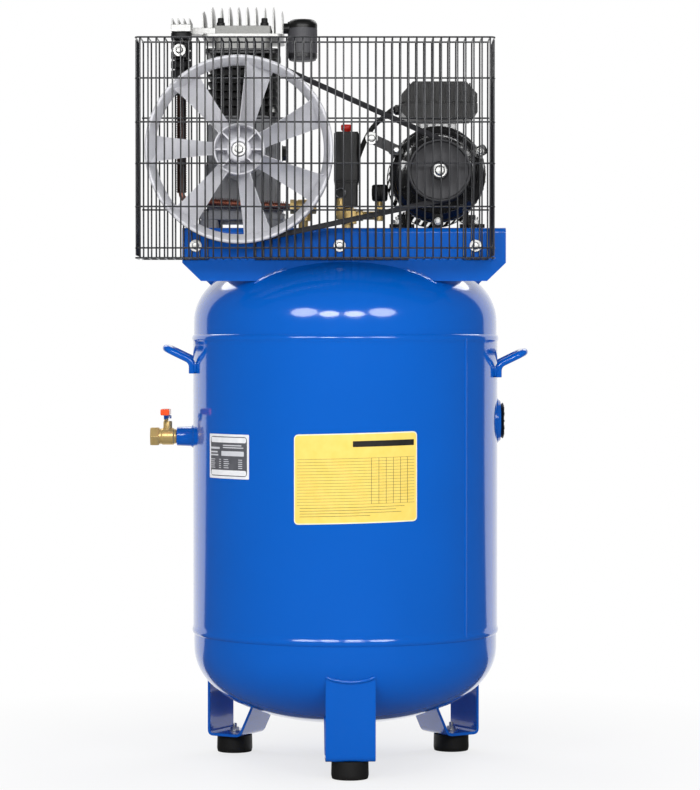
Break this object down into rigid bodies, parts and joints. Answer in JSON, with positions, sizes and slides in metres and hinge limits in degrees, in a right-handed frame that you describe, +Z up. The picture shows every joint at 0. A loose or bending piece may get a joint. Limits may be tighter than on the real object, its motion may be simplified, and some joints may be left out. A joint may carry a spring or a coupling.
{
  "type": "vertical tank compressor",
  "caption": "Belt-driven piston air compressor on an upright blue air receiver with three legs, a wire belt guard, a motor, a pressure switch and a lever outlet valve.",
  "frame": {"origin": "the middle of the overall outline in X and Y, on the floor under the rubber feet", "axes": "+Z up along the tank, -Y to the front, where the belt guard and the data plates are, +X to the inspection plug's side"},
  "size_m": [0.6512, 0.5234, 1.284],
  "materials": {
    "tank_blue": "gloss",
    "wire_black": "satin",
    "zinc": "satin",
    "flywheel_metal": "satin",
    "crankcase_grey": "satin",
    "pump_black": "satin",
    "head_alloy": "satin",
    "copper": "satin",
    "brass": "satin",
    "steel": "satin",
    "motor_black": "gloss",
    "pulley_iron": "satin",
    "rubber": "matte",
    "switch_plastic": "matte",
    "red_plastic": "gloss",
    "orange_vinyl": "satin",
    "filter_plastic": "matte"
  },
  "bodies": {
    "frame": {"air_filter": "filter_plastic", "check_valve": "brass", "cooler_pipe": "copper", "crankcase": "crankcase_grey", "crankcase_cover": "crankcase_grey", "cylinder_block": "pump_black", "cylinder_head": "head_alloy", "discharge_cooler": "pump_black", "drain_plug": "brass", "foot_front": "rubber", "foot_left": "rubber", "foot_right": "rubber", "guard_bolt_centre": "zinc", "guard_bolt_left": "zinc", "guard_bolt_right": "zinc", "guard_bottom_return": "wire_black", "guard_front_grille": "wire_black", "guard_left_return": "wire_black", "guard_rear_left": "wire_black", "guard_rear_middle": "wire_black", "guard_rear_right": "wire_black", "guard_rear_top": "wire_black", "guard_right_return": "wire_black", "guard_stay_motor": "wire_black", "guard_stay_pump": "wire_black", "guard_top_return": "wire_black", "handle_left": "tank_blue", "handle_right": "tank_blue", "inspection_plug": "switch_plastic", "leg_front": "tank_blue", "leg_left": "tank_blue", "leg_right": "tank_blue", "manifold": "brass", "motor_cable": "rubber", "motor_fan_cowl": "motor_black", "motor_frame": "motor_black", "motor_front_shield": "motor_black", "mounting_deck": "tank_blue", "switch_body": "switch_plastic", "tank_bottom_head": "tank_blue", "tank_shell": "tank_blue", "tank_top_head": "tank_blue", "terminal_box": "motor_black", "v_belt": "rubber", "valve_body": "brass", "valve_plate": "pump_black"},
    "flywheel": {"flywheel": "flywheel_metal", "flywheel_bolt": "zinc", "crankshaft": "steel"},
    "motor_rotor": {"motor_pulley": "pulley_iron", "motor_shaft": "steel", "pulley_bolt": "zinc"},
    "valve_lever": {"valve_lever": "orange_vinyl"},
    "switch_knob": {"switch_knob": "red_plastic"},
    "regulator_knob": {"regulator_knob": "switch_plastic"},
    "safety_valve_ring": {"safety_valve_ring": "zinc"}
  },
  "joints": [
    {"name": "flywheel_spin", "type": "hinge", "parent": "frame", "child": "flywheel", "pos_m": [-0.15708, -0.2183, 1.0293], "axis": [0, 1, 0], "continuous": true},
    {"name": "motor_spin", "type": "hinge", "parent": "frame", "child": "motor_rotor", "pos_m": [0.16992, -0.2183, 0.995], "axis": [0, 1, 0], "continuous": true},
    {"name": "valve_lever_turn", "type": "hinge", "parent": "frame", "child": "valve_lever", "pos_m": [-0.28788, 0.0017, 0.581], "axis": [0, 0, 1], "range_deg": [-90, 0]},
    {"name": "switch_knob_pull", "type": "slide", "parent": "frame", "child": "switch_knob", "axis": [0, 0, 1], "range_m": [-0.006, 0]},
    {"name": "regulator_turn", "type": "hinge", "parent": "frame", "child": "regulator_knob", "pos_m": [0.07392, -0.0783, 0.966], "axis": [0, 0, 1], "range_deg": [-540, 540]},
    {"name": "safety_ring_pull", "type": "slide", "parent": "frame", "child": "safety_valve_ring", "axis": [0, 0, 1], "range_m": [0, 0.003], "stiffness_N_per_m": 100}
  ],
  "couplings": [
    {"joint": "motor_spin", "follows": "flywheel_spin", "ratio": 2.986}
  ]
}
